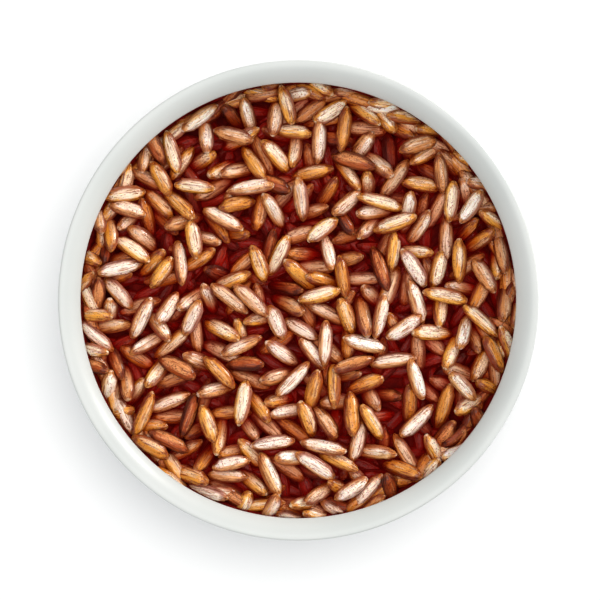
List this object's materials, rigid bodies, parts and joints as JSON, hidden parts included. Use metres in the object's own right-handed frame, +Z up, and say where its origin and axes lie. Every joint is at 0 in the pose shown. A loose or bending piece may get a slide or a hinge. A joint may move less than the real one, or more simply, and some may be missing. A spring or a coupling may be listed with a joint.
{
  "type": "bowl of pink rice",
  "caption": "Small round white glazed bowl on a foot ring, filled to a little below its rounded lip with a heap of dry unpolished red rice grains.",
  "frame": {"origin": "middle of the foot ring's underside, on the surface that the bowl stands on", "axes": "+Z up, along the bowl's axis from its foot to its open mouth; X and Y lie in the table"},
  "size_m": [0.07, 0.07, 0.032],
  "materials": {
    "white_glaze": "gloss",
    "red_rice": "satin"
  },
  "bodies": {
    "root": {"bowl": "white_glaze", "rice": "red_rice"}
  },
  "joints": []
}
